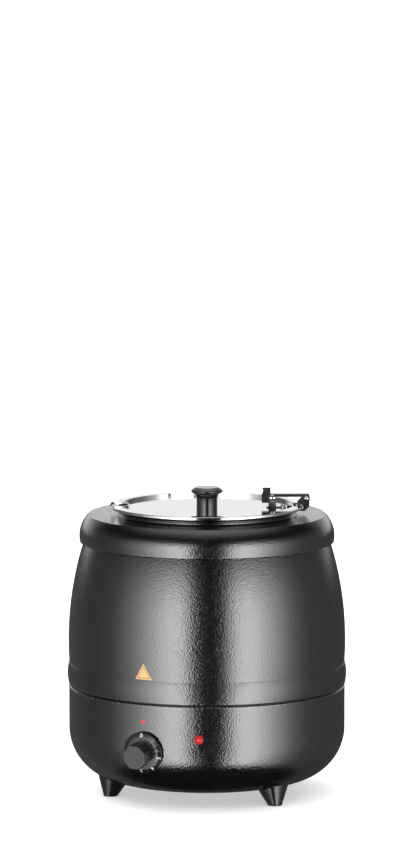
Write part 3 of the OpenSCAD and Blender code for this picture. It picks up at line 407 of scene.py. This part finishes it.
def soften(node, width_mm, segments=2, wanted=lambda edge: True, degrees=30):
    """Replaces a node with a copy whose sharp edges are rounded."""
    work = bmesh.new()
    work.from_mesh(nodes[node].data)
    bmesh.ops.remove_doubles(work, verts=work.verts, dist=1e-6)
    bmesh.ops.dissolve_limit(work, angle_limit=math.radians(0.4), verts=work.verts, edges=work.edges)
    limit = math.radians(degrees)
    sharp = [edge for edge in work.edges
             if len(edge.link_faces) == 2 and edge.calc_face_angle(0) > limit and wanted(edge)]
    bmesh.ops.bevel(work, geom=sharp, offset=width_mm * MM, offset_type="OFFSET", segments=segments,
                    profile=0.5, affect="EDGES", clamp_overlap=True)
    bmesh.ops.triangulate(work, faces=[face for face in work.faces if len(face.verts) > 4])
    bmesh.ops.recalc_face_normals(work, faces=work.faces)
    mesh = bpy.data.meshes.new(node + "_soft")
    work.to_mesh(mesh)
    work.free()
    smooth_by_angle(mesh)
    piece = add_piece(node + "_soft", keep_flats(mesh), finish_by_node[node], nodes[node]["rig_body"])
    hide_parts(node)
    return piece


def on_floor(edge):
    """True for an edge that lies on the floor."""
    return all(vert.co.z < 0.2 * MM for vert in edge.verts)


soften("knob_grip", 0.6, segments=2)
soften("knob_skirt", 0.4, segments=2)
soften("jaw_pad", 0.5, segments=2)
soften("stop_tab", 0.25)
for foot_name in ("foot_left", "foot_right", "foot_rear"):
    soften(foot_name, 1.6, segments=4, wanted=on_floor)

# ---- Dial figures ----


def dial_frame():
    """The knob's own axes: to the right, up and outward, with its centre."""
    out = Vector(joints["knob_turn"]["axis"]).normalized()
    up = (Vector((0, 0, 1)) - out.z * out).normalized()
    right = up.cross(out)
    centre = Vector(joints["knob_turn"]["pos_m"])
    return right, up, out, centre


def wrap_on_dial(point, turn, inner, foot, rise):
    """A flat point (across, outward, thick) in millimetres laid on the dial's cone at a clock angle."""
    right, up, out, centre = dial_frame()
    radius = inner + point[1]
    angle = math.radians(turn) + point[0] / radius
    lift = foot - rise * point[1] + point[2]
    flat = radius * (math.sin(angle) * right + math.cos(angle) * up)
    return centre + MM * (flat + lift * out)


def dial_figures():
    """Figures 0 to 5 printed round the dial, each standing on the grip side and pointing outward."""
    figure_h = 4.4
    first_turn = -90
    step = -42
    _, _, out, centre = dial_frame()
    dial = [(vert.co - centre) / MM for vert in nodes["knob_skirt"].data.vertices]
    reach = [(co.dot(out), (co - co.dot(out) * out).length) for co in dial]
    top = max(along for along, _ in reach)
    edge_r = max(r for _, r in reach)
    edge_top = max(along for along, r in reach if r > edge_r - 0.1)
    face_r = max(r for along, r in reach if along > top - 0.05)
    rise = (top - edge_top) / (edge_r - face_r)
    inner = face_r + 0.9
    foot = top - rise * (inner - face_r) + 0.03
    work = bmesh.new()
    for figure in range(6):
        turn = 0 if figure == 0 else first_turn + step * (figure - 1)
        text = bpy.data.curves.new("figure", "FONT")
        text.body = str(figure)
        text.size = figure_h / 0.7
        text.align_x = "CENTER"
        text.extrude = 0.03
        text.resolution_u = 6
        obj = bpy.data.objects.new("figure", text)
        bpy.context.scene.collection.objects.link(obj)
        bpy.context.view_layer.update()
        mesh = bpy.data.meshes.new_from_object(obj.evaluated_get(bpy.context.evaluated_depsgraph_get()))
        for vert in mesh.vertices:
            vert.co = wrap_on_dial(vert.co, turn, inner, foot, rise)
        work.from_mesh(mesh)
        bpy.data.objects.remove(obj)
        bpy.data.meshes.remove(mesh)
    bmesh.ops.remove_doubles(work, verts=work.verts, dist=1e-6)
    bmesh.ops.recalc_face_normals(work, faces=work.faces)
    mesh = bpy.data.meshes.new("dial_figures")
    work.to_mesh(mesh)
    work.free()
    return add_piece("dial_figures", mesh, finishes["figure_ink"], "knob")


dial_figures()

# ---- Repeated trim, by geometry nodes ----


def repeat_tree():
    """A tree that sets a part at equal steps round a circle, turned to face outward, as one real mesh."""
    tree = bpy.data.node_groups.new("set_round_a_circle", "GeometryNodeTree")
    face = tree.interface
    face.new_socket("Geometry", in_out="INPUT", socket_type="NodeSocketGeometry")
    face.new_socket("Part", in_out="INPUT", socket_type="NodeSocketObject")
    face.new_socket("Count", in_out="INPUT", socket_type="NodeSocketInt")
    face.new_socket("Radius", in_out="INPUT", socket_type="NodeSocketFloat")
    face.new_socket("First Angle", in_out="INPUT", socket_type="NodeSocketFloat")
    face.new_socket("Height", in_out="INPUT", socket_type="NodeSocketFloat")
    face.new_socket("Finish", in_out="INPUT", socket_type="NodeSocketMaterial")
    face.new_socket("Geometry", in_out="OUTPUT", socket_type="NodeSocketGeometry")
    given = tree.nodes.new("NodeGroupInput").outputs
    step = maths(tree, "DIVIDE", math.tau, given["Count"])
    index = tree.nodes.new("GeometryNodeInputIndex").outputs[0]
    angle = maths(tree, "ADD", maths(tree, "MULTIPLY", index, step), given["First Angle"])
    spot = tree.nodes.new("ShaderNodeCombineXYZ")
    feed(tree, spot, X=maths(tree, "MULTIPLY", given["Radius"], maths(tree, "COSINE", angle)),
         Y=maths(tree, "MULTIPLY", given["Radius"], maths(tree, "SINE", angle)), Z=given["Height"])
    points = tree.nodes.new("GeometryNodePoints")
    feed(tree, points, Count=given["Count"], Position=spot.outputs[0])
    turn = tree.nodes.new("ShaderNodeCombineXYZ")
    feed(tree, turn, Z=angle)
    euler = tree.nodes.new("FunctionNodeEulerToRotation")
    tree.links.new(turn.outputs[0], euler.inputs[0])
    part = tree.nodes.new("GeometryNodeObjectInfo")
    tree.links.new(given["Part"], part.inputs["Object"])
    sown = tree.nodes.new("GeometryNodeInstanceOnPoints")
    feed(tree, sown, Points=points.outputs[0], Instance=part.outputs["Geometry"], Rotation=euler.outputs[0])
    real = tree.nodes.new("GeometryNodeRealizeInstances")
    tree.links.new(sown.outputs[0], real.inputs[0])
    painted = tree.nodes.new("GeometryNodeSetMaterial")
    feed(tree, painted, Geometry=real.outputs[0], Material=given["Finish"])
    end = tree.nodes.new("NodeGroupOutput")
    tree.links.new(painted.outputs[0], end.inputs[0])
    return tree


set_round = repeat_tree()


def repeated(name, part_mesh, count, radius, first_deg, height, finish, body,
             placed=Matrix.Identity(4)):
    """Sets a small mesh round a circle and returns the piece as one plain mesh on its body."""
    part = bpy.data.objects.new(name + "_part", part_mesh)
    holder = bpy.data.objects.new(name + "_holder", bpy.data.meshes.new(name + "_holder"))
    bpy.context.scene.collection.objects.link(part)
    bpy.context.scene.collection.objects.link(holder)
    modifier = holder.modifiers.new("repeat", "NODES")
    modifier.node_group = set_round
    values = {"Part": part, "Count": count, "Radius": radius, "First Angle": math.radians(first_deg),
              "Height": height, "Finish": finish}
    for item in set_round.interface.items_tree:
        if item.in_out == "INPUT" and item.name in values:
            modifier[item.identifier] = values[item.name]
    bpy.context.view_layer.update()
    mesh = bpy.data.meshes.new_from_object(holder.evaluated_get(bpy.context.evaluated_depsgraph_get()))
    mesh.transform(placed)
    bpy.data.objects.remove(holder)
    bpy.data.objects.remove(part)
    return add_piece(name, mesh, None, body)


def lathe(name, outline, sides=32):
    """A closed turned mesh from (radius, height) points that start and end on the axis."""
    work = bmesh.new()
    rings = []
    for radius, height in outline:
        if radius == 0:
            rings.append([work.verts.new((0, 0, height))])
        else:
            rings.append([work.verts.new((radius * math.cos(k * math.tau / sides),
                                          radius * math.sin(k * math.tau / sides), height))
                          for k in range(sides)])
    for below, above in zip(rings, rings[1:]):
        for k in range(sides):
            n = (k + 1) % sides
            corners = [below[k % len(below)], below[n % len(below)],
                       above[n % len(above)], above[k % len(above)]]
            unique = list(dict.fromkeys(corners))
            if len(unique) > 2:
                work.faces.new(unique)
    bmesh.ops.recalc_face_normals(work, faces=work.faces)
    mesh = bpy.data.meshes.new(name)
    work.to_mesh(mesh)
    work.free()
    smooth_by_angle(mesh)
    return mesh


def domed(radius, height, flat=0.0, steps=6):
    """Outline of a dome of that radius and height standing on `flat`."""
    return [(radius * math.cos(t * math.pi / 2 / steps), flat + height * math.sin(t * math.pi / 2 / steps))
            for t in range(steps)] + [(0, flat + height)]


def cross_screw(name, head_r, head_h):
    """A pan head with rolled edge and a cross recess cut by four sunk bars."""
    mesh = lathe(name, [(0, 0), (head_r * 0.96, 0)] + domed(head_r, head_h, 0.12 * head_h), sides=40)
    head = bpy.data.objects.new(name, mesh)
    bpy.context.scene.collection.objects.link(head)
    work = bmesh.new()
    for turn in (0, 90):
        made = bmesh.ops.create_cube(work, size=1)
        across = Matrix.Diagonal((head_r * 1.15, head_r * 0.24, head_h, 1))
        at = Matrix.Translation((0, 0, head_h * 1.15)) @ Matrix.Rotation(math.radians(turn), 4, "Z") @ across
        bmesh.ops.transform(work, matrix=at, verts=made["verts"])
    cutter_mesh = bpy.data.meshes.new(name + "_cutter")
    work.to_mesh(cutter_mesh)
    work.free()
    cutter = bpy.data.objects.new(name + "_cutter", cutter_mesh)
    bpy.context.scene.collection.objects.link(cutter)
    cut = head.modifiers.new("recess", "BOOLEAN")
    cut.object = cutter
    cut.operation = "DIFFERENCE"
    cut.solver = "EXACT"
    cut.use_self = True
    bpy.context.view_layer.update()
    result = bpy.data.meshes.new_from_object(head.evaluated_get(bpy.context.evaluated_depsgraph_get()))
    bpy.data.objects.remove(head)
    bpy.data.objects.remove(cutter)
    smooth_by_angle(result)
    return result


def radius_and_angle(node):
    """Distance from the axis and angle of the first solid of a node set at equal steps round the axis."""
    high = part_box(node)[1]
    points = [vert.co for vert in nodes[node].data.vertices
              if vert.co.x > 0.5 * high.x and abs(vert.co.z - high.z) < 1 * MM]
    centre = sum(points, Vector()) / len(points)
    return math.hypot(centre.x, centre.y), math.degrees(math.atan2(centre.y, centre.x))


def flange_screw_heads():
    """Cross-head screws that hold the well's flange, with a flat washer face."""
    head_r = 3.2 * MM
    flange_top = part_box("well")[1].z
    head_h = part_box("flange_screws")[1].z - flange_top
    mesh = cross_screw("flange_screw_head", head_r, head_h)
    radius, angle = radius_and_angle("flange_screws")
    piece = repeated("flange_screw_heads", mesh, 3, radius, angle, flange_top, finishes["zinc_plate"],
                     "kettle")
    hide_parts("flange_screws")


def gland_ribs():
    """Grip ribs round the cord gland's collar."""
    low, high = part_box("cord_gland")
    centre = (low + high) / 2
    collar_r = (high.x - low.x) / 2
    wall_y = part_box("lower_shell")[1].y
    length = 2.6 * MM
    rib_r = 0.7 * MM
    edge = 0.3 * MM
    off_wall = 0.2 * MM
    rib = lathe("gland_rib", [(0, 0), (rib_r - edge / 2, 0), (rib_r, edge), (rib_r, length - edge),
                              (rib_r - 0.2 * MM, length), (0, length)], sides=12)
    turned = Matrix.Rotation(math.radians(-90), 4, "X")
    at = Matrix.Translation((centre.x, wall_y + off_wall, centre.z)) @ turned
    repeated("gland_ribs", rib, 24, collar_r, 0, 0, finishes["foot_plastic"], "kettle", at)


flange_screw_heads()
gland_ribs()

# ---- Floor, light and camera ----


def floor():
    """A wide pale floor. Reflections in the object pass it, as they would over a dark bench."""
    mesh = lathe("floor", [(0, 0), (60, 0)], sides=96)
    for polygon in mesh.polygons:
        if polygon.normal.z < 0:
            polygon.flip()
    obj = bpy.data.objects.new("floor", mesh)
    bpy.context.scene.collection.objects.link(obj)
    material, tree, shader = finish_of("floor_paper", Roughness=0.9, Emission_Strength=0.45)
    shader.inputs["Specular IOR Level"].default_value = 0.0
    tone = blend(tree, grain(tree, place(tree), 400, detail=2), (0.86, 0.86, 0.86), (0.88, 0.88, 0.88))
    feed(tree, shader, Base_Color=tone, Emission_Color=tone)
    coat(obj, material)
    obj.visible_glossy = False


# Brightness of the studio by the angle from the front, positive to the right
STUDIO = [(-180, 0.05), (-150, 0.15), (-106, 0.19), (-84, 0.36), (-64, 1.35), (-46, 3.4), (-32, 5.7),
          (-24, 6.1), (-17, 5.0), (-11.5, 0.1), (0, 0.02), (16, 0.02), (20, 3.8), (26, 5.8), (37, 6.2),
          (56, 3.0), (74, 0.9), (92, 0.3), (122, 0.17), (148, 0.1), (180, 0.05)]


def studio():
    """Two tall soft lights beside the camera with a dark gap between, and a lit backdrop behind."""
    world = bpy.data.worlds.new("studio")
    bpy.context.scene.world = world
    world.cycles_visibility.diffuse = False
    world.use_nodes = True
    tree = world.node_tree
    tree.nodes.clear()
    facing = node_of(tree, "ShaderNodeTexCoord").outputs["Generated"]
    split = feed(tree, node_of(tree, "ShaderNodeSeparateXYZ"), Vector=facing)
    x, y, z = split.outputs
    turn = maths(tree, "ARCTAN2", x, maths(tree, "MULTIPLY", y, -1))
    rise = maths(tree, "MULTIPLY", maths(tree, "ARCSINE", z), 180 / math.pi)
    ramp = node_of(tree, "ShaderNodeValToRGB")
    brightest = max(level for _, level in STUDIO)
    stops = ramp.color_ramp.elements
    while len(stops) < len(STUDIO):
        stops.new(1)
    for stop, (degrees, level) in zip(stops, STUDIO):
        stop.position = (degrees + 180) / 360
        stop.color = (*[level / brightest] * 3, 1)
    share = maths(tree, "ADD", maths(tree, "DIVIDE", turn, math.tau), 0.5)
    tree.links.new(share, ramp.inputs[0])
    front = maths(tree, "MULTIPLY", ramp.outputs["Color"], brightest)
    tall = maths(tree, "MULTIPLY", fade(tree, rise, -50, -44), fade(tree, rise, 31, 8))
    front = maths(tree, "MULTIPLY", front, tall)
    behind = fade(tree, maths(tree, "ABSOLUTE", turn), math.radians(125), math.radians(150))
    wall = maths(tree, "MULTIPLY", fade(tree, rise, -1.0, 3.0), fade(tree, rise, 19, 11, 0.45, 1.0))
    back = maths(tree, "MULTIPLY", behind, wall)
    top = fade(tree, rise, 40, 75, 0.0, 1.1)
    level = maths(tree, "ADD", maths(tree, "ADD", front, back), top)
    lit = feed(tree, node_of(tree, "ShaderNodeBackground"), Color=(1, 1, 1, 1), Strength=level)
    white = feed(tree, node_of(tree, "ShaderNodeBackground"), Color=(1, 1, 1, 1), Strength=1.0)
    seen = node_of(tree, "ShaderNodeLightPath").outputs["Is Camera Ray"]
    mix = node_of(tree, "ShaderNodeMixShader")
    tree.links.new(seen, mix.inputs[0])
    tree.links.new(lit.outputs[0], mix.inputs[1])
    tree.links.new(white.outputs[0], mix.inputs[2])
    end = node_of(tree, "ShaderNodeOutputWorld")
    tree.links.new(mix.outputs[0], end.inputs["Surface"])


def sky_lamp(name, toward, spread, strength):
    """Even light from a wide patch of sky that lights matt surfaces and isn't mirrored in polished ones."""
    data = bpy.data.lights.new(name, "SUN")
    data.angle = math.radians(spread)
    data.energy = strength
    obj = bpy.data.objects.new(name, data)
    obj.rotation_euler = Vector(toward).to_track_quat("-Z", "Y").to_euler()
    obj.visible_camera = False
    obj.visible_glossy = False
    bpy.context.scene.collection.objects.link(obj)


def lamps():
    """Broad even light on the floor, a little stronger from the upper left at the back."""
    sky_lamp("dome_lamp", (0, 0, -1), 170, 3.6)
    sky_lamp("window_lamp", (0.55, -0.45, -1), 60, 1.0)
    sky_lamp("front_lamp", (0.1, 1, -0.5), 60, 0.9)


def camera():
    """A long lens at the front, well above the mouth and looking slightly down."""
    look_down = 7.083
    data = bpy.data.cameras.new("camera")
    data.lens = 237.6
    data.clip_end = 200
    obj = bpy.data.objects.new("camera", data)
    obj.location = (0.0013, -6.8, 1.295)
    obj.rotation_euler = (math.radians(90 - look_down), 0, 0)
    bpy.context.scene.collection.objects.link(obj)
    bpy.context.scene.camera = obj


floor()
studio()
lamps()
camera()
bpy.context.scene.view_settings.view_transform = "Standard"
